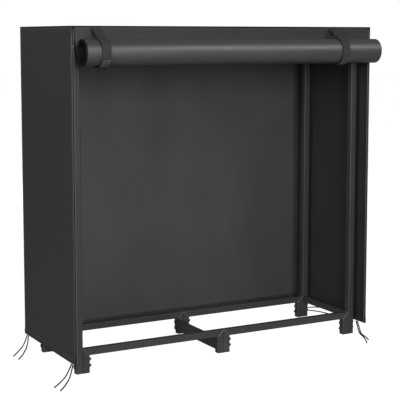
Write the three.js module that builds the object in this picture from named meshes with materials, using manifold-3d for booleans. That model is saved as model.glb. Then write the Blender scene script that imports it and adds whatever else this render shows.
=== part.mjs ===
// Firewood log rack with a fitted fabric cover, in millimetres, +Z up, front towards -Y.
// Square steel tubes are bolted side by side into legs. The cover hangs over the frame, and its
// front door is rolled up under two straps.
import * as THREE from 'three';
import { mergeVertices } from 'three/addons/utils/BufferGeometryUtils.js';
import Module from 'manifold-3d';

const wasm = await Module();
wasm.setup();

// ---------------------------------------------------------------- driving dimensions
const GAP = 0.3; // between pieces that touch
const COVER_WIDTH = 1224;
const COVER_DEPTH = 494;
const COVER_HEIGHT = 1200; // floor to the cover's top
const HEM_HEIGHT = 47; // floor to the cover's lower edge
const CLOTH = 2; // stand-in thickness of a cover panel

const TUBE = 25; // square steel tube
const TUBE_WALL = 1.5;
const TUBE_CORNER = 3;
const FRAME_WIDTH = 1176; // over the end posts
const FRAME_PITCH = 320; // front post to rear post, centre to centre
const FRAME_SETBACK = 47; // cover's front plane to the front posts' faces
const RAIL_TOP = 87; // top of the base rails, where the logs lie

const ROLL_RADIUS = 46.5;
const ROLL_BORE = 25;
const ROLL_LENGTH = 1200;
const ROLL_DROP = 88; // cover's top to the roll's axis
const ROLL_GAP = 4; // door sheet to roll

const STRAP_WIDTH = 32;
const STRAP_THICKNESS = 2;
const STRAP_LEFT_INSET = 85; // cover's left corner to the left strap's centre
const STRAP_RIGHT_INSET = 177; // cover's right corner to the right strap's centre
const STRAP_SEAM_DROP = 8; // cover's top to the straps' sewn ends
const STRAP_END_ANGLE = -122; // degrees round the roll from its rear, where the legs meet

const BOLT_RADIUS = 4;
const BOLT_HOLE_RADIUS = 4.6;
const BOLT_HEAD_RADIUS = 7.2;
const BOLT_HEAD_HEIGHT = 5;
const BOLT_TIP = 4; // thread past the nut
const BOLT_HEIGHTS = { upper: 46, lower: 24 };

const PLATE_THICKNESS = 3;
const PLATE_BOTTOM = 14;

const FOOT_THICKNESS = 4; // what shows of a foot under the tube ends
const FOOT_CORNER = 3;
const PEG_CLEARANCE = 0.5; // between a foot's peg and the tube's bore
const PEG_HEIGHT = 9;

const ZIP_WIDTH = 6;
const ZIP_THICKNESS = 2;
const SLIDER_DROP = 70; // cover's top to the parked slider

const CORD_RADIUS = 2.4;

// ---------------------------------------------------------------- places worked out from them
const halfWidth = COVER_WIDTH / 2;
const strapOuterReach = ROLL_RADIUS + STRAP_THICKNESS + 2 * GAP;
const protrusion = ROLL_GAP + ROLL_RADIUS + strapOuterReach; // of the strapped roll past the cover
const coverFront = (protrusion - COVER_DEPTH) / 2; // centres the whole object on Y = 0
const coverRear = coverFront + COVER_DEPTH;
const panelTop = COVER_HEIGHT - CLOTH - GAP; // upper edge of the hanging panels
const postTop = panelTop;
const postX = (FRAME_WIDTH - TUBE) / 2;
const frontY = coverFront + FRAME_SETBACK + TUBE / 2;
const rearY = frontY + FRAME_PITCH;
const tubeBottom = FOOT_THICKNESS + GAP;
const rollY = coverFront - ROLL_GAP - ROLL_RADIUS;
const rollZ = COVER_HEIGHT - ROLL_DROP;
const legX = postX - TUBE - GAP; // centre of the base frame's outer leg
const middleLegX = (TUBE + GAP) / 2;

// ---------------------------------------------------------------- finishes
const steel = new THREE.MeshStandardMaterial({ color: 0x2c2c2b, roughness: 0.5, metalness: 0.3 });
const zinc = new THREE.MeshStandardMaterial({ color: 0x8b8d8e, roughness: 0.4, metalness: 0.9 });
const plastic = new THREE.MeshStandardMaterial({ color: 0x161616, roughness: 0.7, metalness: 0 });
const cloth = new THREE.MeshStandardMaterial({ color: 0x303030, roughness: 0.85, metalness: 0 });
const webbing = new THREE.MeshStandardMaterial({ color: 0x1d1d1d, roughness: 0.9, metalness: 0 });
const cord = new THREE.MeshStandardMaterial({ color: 0x121212, roughness: 0.9, metalness: 0 });

const rack = new THREE.Group();
const frame = new THREE.Group();
const cover = new THREE.Group();
rack.add(frame, cover);

function addPiece(group, name, geometry, material, position = [0, 0, 0]) {
  const mesh = new THREE.Mesh(geometry, material);
  mesh.name = name;
  mesh.position.set(...position);
  group.add(mesh);
  return mesh;
}

// ---------------------------------------------------------------- joining and cutting
function toSolid(geometry) {
  const bare = geometry.clone();
  bare.deleteAttribute('normal');
  bare.deleteAttribute('uv');
  const merged = mergeVertices(bare, 1e-4);
  const mesh = new wasm.Mesh({
    numProp: 3,
    vertProperties: new Float32Array(merged.attributes.position.array),
    triVerts: new Uint32Array(merged.index.array),
  });
  return new wasm.Manifold(mesh);
}

function toGeometry(solid) {
  const mesh = solid.getMesh();
  const geometry = new THREE.BufferGeometry();
  geometry.setAttribute('position', new THREE.BufferAttribute(mesh.vertProperties, 3));
  geometry.setIndex(new THREE.BufferAttribute(mesh.triVerts, 1));
  geometry.computeVertexNormals();
  return geometry;
}

function join(...geometries) {
  return toGeometry(geometries.map(toSolid).reduce((whole, piece) => whole.add(piece)));
}

function cut(geometry, cutters) {
  const solids = cutters.map(toSolid);
  return toGeometry(solids.reduce((left, cutter) => left.subtract(cutter), toSolid(geometry)));
}

// A cylinder along X, centred at that place.
function rodX(radius, length, sides, x, y, z) {
  return new THREE.CylinderGeometry(radius, radius, length, sides).rotateZ(Math.PI / 2).translate(x, y, z);
}

// ---------------------------------------------------------------- square tube
// The corners of a square with rounded corners, anticlockwise.
function roundedSquare(size, corner) {
  const steps = 3;
  const reach = size / 2 - corner;
  const points = [];
  for (let side = 0; side < 4; side += 1) {
    const start = (side * Math.PI) / 2;
    const x = reach * Math.SQRT2 * Math.cos(start + Math.PI / 4);
    const y = reach * Math.SQRT2 * Math.sin(start + Math.PI / 4);
    for (let step = 0; step <= steps; step += 1) {
      const angle = start + (step / steps) * (Math.PI / 2);
      points.push(new THREE.Vector2(x + corner * Math.cos(angle), y + corner * Math.sin(angle)));
    }
  }
  return points;
}

// A hollow square tube along a path in one plane, open at both ends and mitred at each bend.
// "side" is the unit vector square to that plane.
function squareTube(path, side) {
  const outer = roundedSquare(TUBE, TUBE_CORNER);
  const bore = roundedSquare(TUBE - 2 * TUBE_WALL, TUBE_CORNER - TUBE_WALL);
  const loops = [outer, bore];
  const around = outer.length;
  const directions = path.slice(1).map((point, i) => point.clone().sub(path[i]).normalize());
  const positions = [];
  path.forEach((point, i) => {
    const before = directions[Math.max(0, i - 1)];
    const after = directions[Math.min(i, directions.length - 1)];
    const up = before.clone().add(after).normalize().cross(side);
    up.divideScalar(up.dot(before.clone().cross(side)));
    for (const loop of loops) {
      for (const corner of loop) {
        const place = point.clone().addScaledVector(side, corner.x).addScaledVector(up, corner.y);
        positions.push(place.x, place.y, place.z);
      }
    }
  });
  const at = (ring, loop, i) => (ring * 2 + loop) * around + (i % around);
  const last = path.length - 1;
  const faces = [];
  const quad = (a, b, c, d) => faces.push(a, b, c, a, c, d);
  for (let i = 0; i < around; i += 1) {
    for (let ring = 0; ring < last; ring += 1) {
      quad(at(ring, 0, i), at(ring, 0, i + 1), at(ring + 1, 0, i + 1), at(ring + 1, 0, i));
      quad(at(ring, 1, i + 1), at(ring, 1, i), at(ring + 1, 1, i), at(ring + 1, 1, i + 1));
    }
    quad(at(0, 0, i + 1), at(0, 0, i), at(0, 1, i), at(0, 1, i + 1));
    quad(at(last, 0, i), at(last, 0, i + 1), at(last, 1, i + 1), at(last, 1, i));
  }
  const geometry = new THREE.BufferGeometry();
  geometry.setAttribute('position', new THREE.Float32BufferAttribute(positions, 3));
  geometry.setIndex(faces);
  geometry.computeVertexNormals();
  return geometry;
}

const vector = (x, y, z) => new THREE.Vector3(x, y, z);
const ACROSS = vector(1, 0, 0);
const ALONG = vector(0, 1, 0);

// Clearance holes along X through a leg that stands at that x.
function drilled(geometry, ...legCentres) {
  const drills = [];
  for (const x of legCentres) {
    for (const z of Object.values(BOLT_HEIGHTS)) {
      drills.push(rodX(BOLT_HOLE_RADIUS, TUBE + 2, 16, x, 0, z));
    }
  }
  return cut(geometry, drills);
}

// ---------------------------------------------------------------- steel frame
const rows = { front: frontY, rear: rearY };
const ends = { left: -1, right: 1 };

for (const [row, y] of Object.entries(rows)) {
  for (const [end, sign] of Object.entries(ends)) {
    const post = squareTube([vector(0, 0, tubeBottom), vector(0, 0, postTop)], ACROSS);
    addPiece(frame, `post_${row}_${end}`, drilled(post, 0), steel, [sign * postX, y, 0]);
  }
}

// Crossbars join the front and rear posts of each end, low and high.
const crossbarLow = RAIL_TOP - TUBE / 2;
const crossbarHigh = postTop - TUBE / 2;
const crossbarReach = (FRAME_PITCH - TUBE) / 2 - GAP;
for (const [end, sign] of Object.entries(ends)) {
  for (const [level, z] of Object.entries({ bottom: crossbarLow, top: crossbarHigh })) {
    const bar = squareTube([vector(0, -crossbarReach, 0), vector(0, crossbarReach, 0)], ACROSS);
    const place = [sign * postX, (frontY + rearY) / 2, z];
    addPiece(frame, `${level}_crossbar_${end}`, bar, steel, place);
  }
}

const topRailReach = postX - TUBE / 2 - GAP;
for (const [row, y] of Object.entries(rows)) {
  const rail = squareTube([vector(-topRailReach, 0, 0), vector(topRailReach, 0, 0)], ALONG);
  addPiece(frame, `top_rail_${row}`, rail, steel, [0, y, crossbarHigh]);
}

// Each base frame is one tube bent into a wide, low upside-down U. Two stand side by side in a row.
const railAxis = RAIL_TOP - TUBE / 2;
for (const [row, y] of Object.entries(rows)) {
  for (const [end, sign] of Object.entries(ends)) {
    const first = Math.min(sign * legX, sign * middleLegX);
    const second = Math.max(sign * legX, sign * middleLegX);
    const path = [
      vector(first, 0, tubeBottom),
      vector(first, 0, railAxis),
      vector(second, 0, railAxis),
      vector(second, 0, tubeBottom),
    ];
    const tube = drilled(squareTube(path, ALONG), first, second);
    addPiece(frame, `base_frame_${row}_${end}`, tube, steel, [0, y, 0]);
  }
}

// The plate ties the front and rear middle legs together on their left face.
const plateX = -middleLegX - TUBE / 2 - GAP - PLATE_THICKNESS;
const plateTop = RAIL_TOP - TUBE - GAP;
const plateShape = new THREE.Shape();
const plateFront = frontY - TUBE / 2 + 1;
const plateRear = rearY + TUBE / 2 - 1;
plateShape.moveTo(plateFront, PLATE_BOTTOM);
plateShape.lineTo(plateRear, PLATE_BOTTOM);
plateShape.lineTo(plateRear, plateTop);
plateShape.lineTo(plateFront, plateTop);
plateShape.closePath();
for (const y of Object.values(rows)) {
  for (const z of Object.values(BOLT_HEIGHTS)) {
    plateShape.holes.push(new THREE.Path().absarc(y, z, BOLT_HOLE_RADIUS, 0, 2 * Math.PI));
  }
}
// Extruding draws the outline in X and Y and goes along Z: this turns those to Y, Z and X.
const intoYZ = new THREE.Matrix4().makeBasis(ALONG, vector(0, 0, 1), ACROSS);
function extrudeX(shape, depth, curveSegments) {
  const geometry = new THREE.ExtrudeGeometry(shape, { depth, bevelEnabled: false, curveSegments });
  return geometry.applyMatrix4(intoYZ);
}
addPiece(frame, 'centre_plate', extrudeX(plateShape, PLATE_THICKNESS, 8), steel, [plateX, 0, 0]);

// A plastic foot closes both tube ends of a leg pair: a pad of the pair's outline, with two pegs
// pushed up into the tubes.
function roundedRectangle(width, depth, corner) {
  const x = width / 2 - corner;
  const y = depth / 2 - corner;
  const shape = new THREE.Shape();
  shape.absarc(x, y, corner, 0, Math.PI / 2);
  shape.absarc(-x, y, corner, Math.PI / 2, Math.PI);
  shape.absarc(-x, -y, corner, Math.PI, 1.5 * Math.PI);
  shape.absarc(x, -y, corner, 1.5 * Math.PI, 2 * Math.PI);
  shape.closePath();
  return shape;
}

const footColumns = { left: -(postX + legX) / 2, middle: 0, right: (postX + legX) / 2 };
const footWidth = 2 * TUBE + GAP;
const pegSize = TUBE - 2 * TUBE_WALL - 2 * PEG_CLEARANCE;
function footGeometry() {
  const pad = new THREE.ExtrudeGeometry(roundedRectangle(footWidth, TUBE, FOOT_CORNER), {
    depth: FOOT_THICKNESS,
    bevelEnabled: false,
    curveSegments: 3,
  });
  const pegs = [-middleLegX, middleLegX].map((x) => {
    const peg = new THREE.BoxGeometry(pegSize, pegSize, PEG_HEIGHT + 1);
    return peg.translate(x, 0, FOOT_THICKNESS + (PEG_HEIGHT - 1) / 2);
  });
  return join(pad, ...pegs);
}
for (const [row, y] of Object.entries(rows)) {
  for (const [column, x] of Object.entries(footColumns)) {
    addPiece(frame, `foot_${row}_${column}`, footGeometry(), plastic, [x, y, 0]);
  }
}

// Bolts run along X through each leg pair. The left and right ones have their heads outside,
// and the middle ones have their heads on the centre plate.
function boltGeometry(grip) {
  const nutEnd = grip + GAP + BOLT_HEAD_HEIGHT;
  const from = -GAP - BOLT_HEAD_HEIGHT + 1;
  const to = nutEnd + BOLT_TIP;
  return join(
    rodX(BOLT_HEAD_RADIUS, BOLT_HEAD_HEIGHT, 6, -GAP - BOLT_HEAD_HEIGHT / 2, 0, 0),
    rodX(BOLT_RADIUS, to - from, 12, (from + to) / 2, 0, 0),
    rodX(BOLT_HEAD_RADIUS, BOLT_HEAD_HEIGHT, 6, nutEnd - BOLT_HEAD_HEIGHT / 2, 0, 0),
  );
}

const boltColumns = {
  left: { headX: -FRAME_WIDTH / 2, sign: 1, grip: 2 * TUBE + GAP },
  middle: { headX: plateX, sign: 1, grip: 2 * TUBE + 2 * GAP + PLATE_THICKNESS },
  right: { headX: FRAME_WIDTH / 2, sign: -1, grip: 2 * TUBE + GAP },
};
for (const [row, y] of Object.entries(rows)) {
  for (const [column, { headX, sign, grip }] of Object.entries(boltColumns)) {
    for (const [level, z] of Object.entries(BOLT_HEIGHTS)) {
      const name = `bolt_${row}_${column}_${level}`;
      const bolt = addPiece(frame, name, boltGeometry(grip), zinc, [headX, y, z]);
      bolt.rotation.z = sign > 0 ? 0 : Math.PI;
    }
  }
}

// ---------------------------------------------------------------- fabric cover
function panel(name, low, high) {
  const size = high.clone().sub(low);
  const centre = low.clone().add(high).multiplyScalar(0.5);
  addPiece(cover, name, new THREE.BoxGeometry(size.x, size.y, size.z), cloth, centre.toArray());
}

const inside = halfWidth - CLOTH;
panel(
  'cover_top',
  vector(-halfWidth, coverFront, COVER_HEIGHT - CLOTH),
  vector(halfWidth, coverRear, COVER_HEIGHT),
);
panel('cover_left', vector(-halfWidth, coverFront, HEM_HEIGHT), vector(-inside, coverRear, panelTop));
panel('cover_right', vector(inside, coverFront, HEM_HEIGHT), vector(halfWidth, coverRear, panelTop));
panel(
  'cover_back',
  vector(GAP - inside, coverRear - CLOTH, HEM_HEIGHT),
  vector(inside - GAP, coverRear, panelTop),
);

// ---------------------------------------------------------------- rolled door
const doorReach = inside - 2 * GAP - ZIP_WIDTH - 2;
panel(
  'door_sheet',
  vector(-doorReach, coverFront, rollZ),
  vector(doorReach, coverFront + CLOTH, panelTop),
);

const rollShape = new THREE.Shape().absarc(rollY, rollZ, ROLL_RADIUS, 0, 2 * Math.PI);
rollShape.holes.push(new THREE.Path().absarc(rollY, rollZ, ROLL_BORE, 0, 2 * Math.PI));
addPiece(cover, 'door_roll', extrudeX(rollShape, ROLL_LENGTH, 16), cloth, [-ROLL_LENGTH / 2, 0, 0]);

// ---------------------------------------------------------------- straps
// A band with its inner side at that radius round the roll, from one angle to another, and then
// straight up to the sewn end. Angles are from the roll's rear, towards its top.
function strapShape(radius, fromAngle, toAngle, seamY, seamZ) {
  const from = THREE.MathUtils.degToRad(fromAngle);
  const to = THREE.MathUtils.degToRad(toAngle);
  const back = to < from;
  const along = new THREE.Vector2(rollY - seamY, rollZ - seamZ);
  along.x += Math.cos(from) * radius;
  along.y += Math.sin(from) * radius;
  const thick = new THREE.Vector2(-along.y, along.x).setLength(back ? -STRAP_THICKNESS : STRAP_THICKNESS);
  const shape = new THREE.Shape();
  shape.moveTo(seamY, seamZ);
  shape.absarc(rollY, rollZ, radius, from, to, back);
  shape.absarc(rollY, rollZ, radius + STRAP_THICKNESS, to, from, !back);
  shape.lineTo(seamY - thick.x, seamZ - thick.y);
  shape.closePath();
  return shape;
}

const seamZ = COVER_HEIGHT - STRAP_SEAM_DROP;
const outerSeamY = coverFront - GAP;
const innerSeamY = coverFront + CLOTH + GAP;
const outerRadius = ROLL_RADIUS + GAP;
const innerRadius = innerSeamY - rollY;
// Where the line from the sewn end touches the roll.
const seamBearing = Math.atan2(seamZ - rollZ, outerSeamY - rollY);
const seamDistance = Math.hypot(seamZ - rollZ, outerSeamY - rollY);
const touchAngle = THREE.MathUtils.radToDeg(seamBearing + Math.acos(outerRadius / seamDistance));

const strapPlaces = { left: -halfWidth + STRAP_LEFT_INSET, right: halfWidth - STRAP_RIGHT_INSET };
for (const [end, x] of Object.entries(strapPlaces)) {
  const outer = strapShape(outerRadius, touchAngle, 360 + STRAP_END_ANGLE, outerSeamY, seamZ);
  const inner = strapShape(innerRadius, 0, STRAP_END_ANGLE, innerSeamY, seamZ);
  const place = [x - STRAP_WIDTH / 2, 0, 0];
  addPiece(cover, `strap_${end}_outer`, extrudeX(outer, STRAP_WIDTH, 16), webbing, place);
  addPiece(cover, `strap_${end}_inner`, extrudeX(inner, STRAP_WIDTH, 16), webbing, place);
}

// ---------------------------------------------------------------- zips
const zipTop = panelTop - 2;
const zipBottom = HEM_HEIGHT + 4;
const zipX = inside - GAP - ZIP_WIDTH / 2;
for (const [end, sign] of Object.entries(ends)) {
  const tape = new THREE.BoxGeometry(ZIP_WIDTH, ZIP_THICKNESS, zipTop - zipBottom);
  const tapeZ = (zipTop + zipBottom) / 2;
  addPiece(cover, `zip_tape_${end}`, tape, webbing, [sign * zipX, coverFront + ZIP_THICKNESS / 2, tapeZ]);
  const body = new THREE.BoxGeometry(ZIP_WIDTH, 3, 12);
  const puller = new THREE.BoxGeometry(4, 1.2, 26).translate(0, -1.6, -14);
  const sliderY = coverFront - GAP - 1.5;
  const slider = join(body, puller);
  addPiece(cover, `zip_slider_${end}`, slider, zinc, [sign * zipX, sliderY, COVER_HEIGHT - SLIDER_DROP]);
}

// ---------------------------------------------------------------- drawcord tails
// Two tails leave the hem at each lower corner, drop to the floor and lie there in a loose curve.
// Each route is a list of places: out of the hem, down, and along the floor.
const hemX = halfWidth - CLOTH / 2;
const cordTop = HEM_HEIGHT - CORD_RADIUS; // clears the hem where a route leans
const onFloor = CORD_RADIUS + 0.1;
const tailRoutes = {
  drawcord_front_left_a: [
    [-hemX, coverFront + 38, cordTop],
    [-hemX - 2, coverFront + 38, 38],
    [-hemX - 13, coverFront + 35, 20],
    [-hemX - 27, coverFront + 28, 5],
    [-hemX - 41, coverFront + 12, onFloor],
    [-hemX - 58, coverFront - 10, onFloor],
    [-hemX - 79, coverFront - 35, onFloor],
    [-hemX - 102, coverFront - 60, onFloor],
  ],
  drawcord_front_left_b: [
    [-hemX, coverFront + 25, cordTop],
    [-hemX - 2, coverFront + 24, 38],
    [-hemX - 11, coverFront + 14, 20],
    [-hemX - 24, coverFront, 5],
    [-hemX - 38, coverFront - 20, onFloor],
    [-hemX - 55, coverFront - 46, onFloor],
    [-hemX - 75, coverFront - 75, onFloor],
    [-hemX - 98, coverFront - 104, onFloor],
  ],
  drawcord_rear_left_a: [
    [-hemX, coverRear - 18, cordTop],
    [-hemX - 2, coverRear - 18, 38],
    [-hemX - 12, coverRear - 24, 20],
    [-hemX - 26, coverRear - 33, 5],
    [-hemX - 40, coverRear - 50, onFloor],
    [-hemX - 56, coverRear - 75, onFloor],
    [-hemX - 75, coverRear - 102, onFloor],
    [-hemX - 95, coverRear - 130, onFloor],
  ],
  drawcord_rear_left_b: [
    [-hemX, coverRear - 32, cordTop],
    [-hemX - 1, coverRear - 33, 38],
    [-hemX - 9, coverRear - 46, 20],
    [-hemX - 21, coverRear - 63, 5],
    [-hemX - 35, coverRear - 85, onFloor],
    [-hemX - 50, coverRear - 113, onFloor],
    [-hemX - 69, coverRear - 144, onFloor],
    [-hemX - 91, coverRear - 176, onFloor],
  ],
  drawcord_front_right_a: [
    [hemX, coverFront + 60, cordTop],
    [hemX, coverFront + 57, 38],
    [hemX - 3, coverFront + 44, 20],
    [hemX - 8, coverFront + 26, 5],
    [hemX - 15, coverFront + 6, onFloor],
    [hemX - 29, coverFront - 29, onFloor],
    [hemX - 48, coverFront - 68, onFloor],
    [hemX - 71, coverFront - 107, onFloor],
  ],
  drawcord_front_right_b: [
    [hemX, coverFront + 54, cordTop],
    [hemX + 2.5, coverFront + 51.5, 38],
    [hemX + 2, coverFront + 41, 20],
    [hemX - 3, coverFront + 23.5, 5],
    [hemX - 10, coverFront + 4, onFloor],
    [hemX - 17, coverFront - 18, onFloor],
    [hemX - 25, coverFront - 43, onFloor],
    [hemX - 35, coverFront - 69, onFloor],
  ],
  drawcord_rear_right_a: [
    [hemX, coverRear - 18, cordTop],
    [hemX + 2, coverRear - 17, 38],
    [hemX + 11, coverRear - 14, 20],
    [hemX + 24, coverRear - 10, 5],
    [hemX + 41, coverRear - 8, onFloor],
    [hemX + 67, coverRear - 12, onFloor],
    [hemX + 92, coverRear - 24, onFloor],
    [hemX + 112, coverRear - 45, onFloor],
  ],
  drawcord_rear_right_b: [
    [hemX, coverRear - 32, cordTop],
    [hemX + 2, coverRear - 33, 38],
    [hemX + 10, coverRear - 37, 20],
    [hemX + 21, coverRear - 45, 5],
    [hemX + 34, coverRear - 58, onFloor],
    [hemX + 50, coverRear - 82, onFloor],
    [hemX + 62, coverRear - 112, onFloor],
    [hemX + 68, coverRear - 144, onFloor],
  ],
};
const cordSection = new THREE.Shape();
for (let i = 0; i < 8; i += 1) {
  const angle = (i / 8) * 2 * Math.PI + Math.PI / 8;
  const x = CORD_RADIUS * Math.cos(angle);
  const y = CORD_RADIUS * Math.sin(angle);
  if (i === 0) cordSection.moveTo(x, y);
  else cordSection.lineTo(x, y);
}
cordSection.closePath();
for (const [name, route] of Object.entries(tailRoutes)) {
  const extrudePath = new THREE.CatmullRomCurve3(route.map((place) => vector(...place)));
  addPiece(cover, name, new THREE.ExtrudeGeometry(cordSection, { steps: 26, extrudePath }), cord);
}

export default rack;
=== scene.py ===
# %% [markdown]
# # A firewood log rack with a rolled-up cover
# The real object is a low steel frame with four posts and a fitted cloth cover. The cover's front
# door is rolled up and held by two straps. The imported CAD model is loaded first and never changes:
# it says where everything is, and each new piece below is built at the place of a CAD node.

# %% Load the frame
import math
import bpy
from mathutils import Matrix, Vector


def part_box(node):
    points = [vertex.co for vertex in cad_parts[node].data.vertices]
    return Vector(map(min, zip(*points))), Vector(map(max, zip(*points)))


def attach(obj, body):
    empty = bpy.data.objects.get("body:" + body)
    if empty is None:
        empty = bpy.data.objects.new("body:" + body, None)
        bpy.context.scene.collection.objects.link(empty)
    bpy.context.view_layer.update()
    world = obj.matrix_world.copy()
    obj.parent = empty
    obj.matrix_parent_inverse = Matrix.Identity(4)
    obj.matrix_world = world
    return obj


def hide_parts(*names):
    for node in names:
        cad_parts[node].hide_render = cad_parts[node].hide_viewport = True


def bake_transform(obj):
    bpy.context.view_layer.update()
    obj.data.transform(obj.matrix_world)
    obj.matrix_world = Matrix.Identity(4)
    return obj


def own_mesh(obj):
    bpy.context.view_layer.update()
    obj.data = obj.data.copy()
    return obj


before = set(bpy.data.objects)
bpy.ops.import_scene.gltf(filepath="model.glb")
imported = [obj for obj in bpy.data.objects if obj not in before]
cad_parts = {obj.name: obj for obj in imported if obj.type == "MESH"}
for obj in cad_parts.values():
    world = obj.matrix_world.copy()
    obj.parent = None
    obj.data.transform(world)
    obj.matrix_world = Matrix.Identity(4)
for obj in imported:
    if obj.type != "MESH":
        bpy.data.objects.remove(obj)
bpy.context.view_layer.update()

from types import SimpleNamespace

import bmesh
import bpy
from mathutils import Matrix, Vector, noise

# %% The places that all else is measured from
top_low, top_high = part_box("cover_top")
sheet_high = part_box("door_sheet")[1]
roll_low, roll_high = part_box("door_roll")
post_low, post_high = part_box("post_front_left")
HALF_WIDTH = top_high[0]
FRONT = top_low[1]
REAR = top_high[1]
TOP = top_high[2]
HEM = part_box("cover_left")[0][2]
PANEL_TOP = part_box("cover_left")[1][2]
ROLL_Y = (roll_low[1] + roll_high[1]) / 2
ROLL_Z = (roll_low[2] + roll_high[2]) / 2
ROLL_RADIUS = (roll_high[2] - roll_low[2]) / 2
ROLL_REACH = roll_high[0]
TUBE = post_high[0] - post_low[0]
print(f"cover {2 * HALF_WIDTH:.3f} x {REAR - FRONT:.3f} x {TOP:.3f} m, hem at {HEM:.3f} m")

# %% [markdown]
# ## Camera
# A level camera at a person's eye height sees the rack from the front left. It tips down a little
# and its lens shift does the rest, so that the posts stay close to parallel. Its place is given
# from the cover's front plane and its middle.

# %% Camera
CAMERA_LEFT = 2.069
CAMERA_AHEAD = 3.557
CAMERA_HEIGHT = 1.165
CAMERA_HEADING = math.radians(28.63)
CAMERA_TIP = math.radians(6.14)
camera_data = bpy.data.cameras.new("camera")
camera_data.sensor_width = 36
camera_data.lens = 103.3
camera_data.shift_y = -0.10
camera = bpy.data.objects.new("camera", camera_data)
bpy.context.collection.objects.link(camera)
camera.location = (-CAMERA_LEFT, FRONT - CAMERA_AHEAD, CAMERA_HEIGHT)
ahead = Vector((math.sin(CAMERA_HEADING), math.cos(CAMERA_HEADING), -math.tan(CAMERA_TIP)))
camera.rotation_euler = ahead.to_track_quat("-Z", "Y").to_euler()
bpy.context.scene.camera = camera
bpy.context.scene.view_settings.view_transform = "Standard"
print("camera at", [round(value, 3) for value in camera.location])

# %% [markdown]
# ## Tools for the bench
# An operator acts on whatever is selected, so each helper first selects one piece alone. A tube is
# a ring of points carried along a path: it serves for the cords, the piping and the weld beads.
# Its UV map is in metres, round it and along it, so a braid or a ripple keeps its real size.


# %% Helpers for selecting and modifying
def only(piece):
    bpy.ops.object.select_all(action="DESELECT")
    piece.select_set(True)
    bpy.context.view_layer.objects.active = piece


def apply_modifier(piece, kind, **settings):
    only(piece)
    modifier = piece.modifiers.new(kind.title(), kind)
    for setting, value in settings.items():
        setattr(modifier, setting, value)
    bpy.ops.object.modifier_apply(modifier=modifier.name)


def face_outwards(piece, degrees=40):
    """Turns all faces outwards and shades the piece smoothly up to that angle."""
    only(piece)
    bpy.ops.object.mode_set(mode="EDIT")
    bpy.ops.mesh.select_all(action="SELECT")
    bpy.ops.mesh.normals_make_consistent(inside=False)
    leave_edit()
    smooth(piece, degrees)


def thicken(piece, thickness, degrees=40):
    """Gives a flat sheet its thickness, half to each side."""
    apply_modifier(piece, "SOLIDIFY", thickness=thickness, offset=0)
    face_outwards(piece, degrees)


def set_in_place(piece):
    only(piece)
    bpy.ops.object.transform_apply(location=True, rotation=True, scale=True)


def smooth(piece, degrees=40):
    only(piece)
    bpy.ops.object.shade_smooth_by_angle(angle=math.radians(degrees))


def pick_faces(piece, test):
    """Opens the piece in edit mode with the faces selected whose centre and normal pass the test."""
    only(piece)
    bpy.ops.object.mode_set(mode="EDIT")
    bpy.ops.mesh.select_mode(type="FACE")
    bpy.ops.mesh.select_all(action="DESELECT")
    bpy.ops.object.mode_set(mode="OBJECT")
    for face in piece.data.polygons:
        face.select = test(face.center, face.normal)
    bpy.ops.object.mode_set(mode="EDIT")


def leave_edit():
    bpy.ops.object.mode_set(mode="OBJECT")


# %% Helpers for joining and copying
def merge(name, parts):
    only(parts[0])
    for part in parts[1:]:
        part.select_set(True)
    if len(parts) > 1:
        bpy.ops.object.join()
    parts[0].name = name
    return parts[0]


def copy_of(piece, name):
    twin = bpy.data.objects.new(name, piece.data.copy())
    bpy.context.collection.objects.link(twin)
    return twin


def block(centre, size):
    """A solid box of that size."""
    bpy.ops.mesh.primitive_cube_add(size=1, location=centre)
    piece = bpy.context.object
    piece.scale = size
    set_in_place(piece)
    return piece


def repeat(piece, step, count):
    """Makes a row of the piece, each copy one step on from the last."""
    apply_modifier(
        piece,
        "ARRAY",
        use_relative_offset=False,
        use_constant_offset=True,
        constant_offset_displace=step,
        count=count,
    )


def ease(value):
    """A smooth rise from 0 to 1."""
    value = max(0.0, min(1.0, value))
    return value * value * (3 - 2 * value)


# %% Helper for tubes
def tube(name, points, radius, sides=10, closed=False):
    """A round tube along the points. "radius" is a number, or a function of the distance along."""
    points = [Vector(point) for point in points]
    count = len(points)
    width = radius if callable(radius) else lambda distance: radius
    mesh = bmesh.new()
    uv = mesh.loops.layers.uv.new("UVMap")
    rings, along, distance = [], [], 0.0
    normal = None
    for i, point in enumerate(points):
        after = points[(i + 1) % count] if closed or i + 1 < count else point
        before = points[i - 1] if closed or i > 0 else point
        tangent = (after - before).normalized()
        if normal is None:
            normal = tangent.orthogonal().normalized()
        normal = (normal - tangent * normal.dot(tangent)).normalized()
        side = tangent.cross(normal)
        if i > 0:
            distance += (point - points[i - 1]).length
        ring = []
        for k in range(sides):
            angle = 2 * math.pi * k / sides
            offset = (normal * math.cos(angle) + side * math.sin(angle)) * width(distance)
            ring.append(mesh.verts.new(point + offset))
        rings.append(ring)
        along.append(distance)
    girth = 2 * math.pi * width(0)
    for i in range(count if closed else count - 1):
        following = (i + 1) % count
        for k in range(sides):
            next_k = (k + 1) % sides
            corners = [rings[i][k], rings[i][next_k], rings[following][next_k], rings[following][k]]
            face = mesh.faces.new(corners)
            face.smooth = True
            heights = [along[i], along[i], along[i] + 0.001, along[i] + 0.001]
            if following:
                heights = [along[i], along[i], along[following], along[following]]
            turns = [k, k + 1, k + 1, k]
            for loop, turn, height in zip(face.loops, turns, heights):
                loop[uv].uv = (girth * turn / sides, height)
    if not closed:
        mesh.faces.new(list(reversed(rings[0])))
        mesh.faces.new(rings[-1])
    bmesh.ops.recalc_face_normals(mesh, faces=mesh.faces)
    data = bpy.data.meshes.new(name)
    mesh.to_mesh(data)
    mesh.free()
    piece = bpy.data.objects.new(name, data)
    bpy.context.collection.objects.link(piece)
    return piece


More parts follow.
